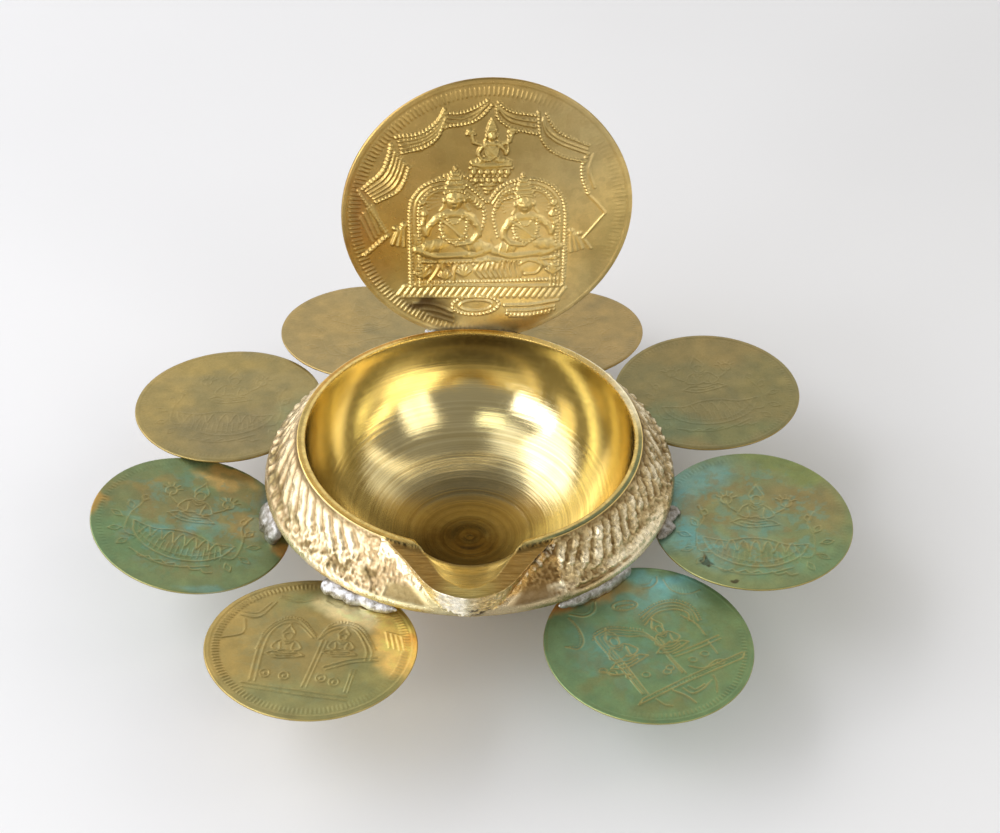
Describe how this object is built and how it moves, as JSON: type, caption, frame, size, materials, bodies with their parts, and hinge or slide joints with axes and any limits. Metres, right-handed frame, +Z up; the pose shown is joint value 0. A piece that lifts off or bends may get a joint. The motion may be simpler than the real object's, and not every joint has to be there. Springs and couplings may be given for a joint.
{
  "type": "ceremonial oil lamp",
  "caption": "Round cast bowl with an open pouring spout for a wick, a ring of thin round discs soldered below its rim, and a larger disc standing upright behind it.",
  "frame": {"origin": "centre of the flat underside of the turned foot, on the bowl's axis", "axes": "+Z up along the bowl's axis, -Y towards the tip of the spout, +X to the right as seen from the spout side"},
  "size_m": [0.1389, 0.1285, 0.0814],
  "materials": {
    "cast_brass": "cast outside, turned and polished inside and on the rim",
    "stamped_brass": "satin stamped relief",
    "tarnished_brass": "dull olive tarnish",
    "verdigris_brass": "green and turquoise tarnish with brown heat stains",
    "solder": "dull silver, lumpy"
  },
  "bodies": {
    "root": {"bowl": "cast_brass", "disc_front_left": "tarnished_brass", "disc_front_right": "verdigris_brass", "disc_left": "verdigris_brass", "disc_right": "verdigris_brass", "disc_rear_left": "tarnished_brass", "disc_rear_right": "tarnished_brass", "disc_back_left": "tarnished_brass", "disc_back_right": "tarnished_brass", "back_plate": "stamped_brass", "solder_front_left": "solder", "solder_front_right": "solder", "solder_left": "solder", "solder_right": "solder", "solder_rear_left": "solder", "solder_rear_right": "solder", "solder_back_left": "solder", "solder_back_right": "solder", "solder_back_plate": "solder"}
  },
  "joints": []
}
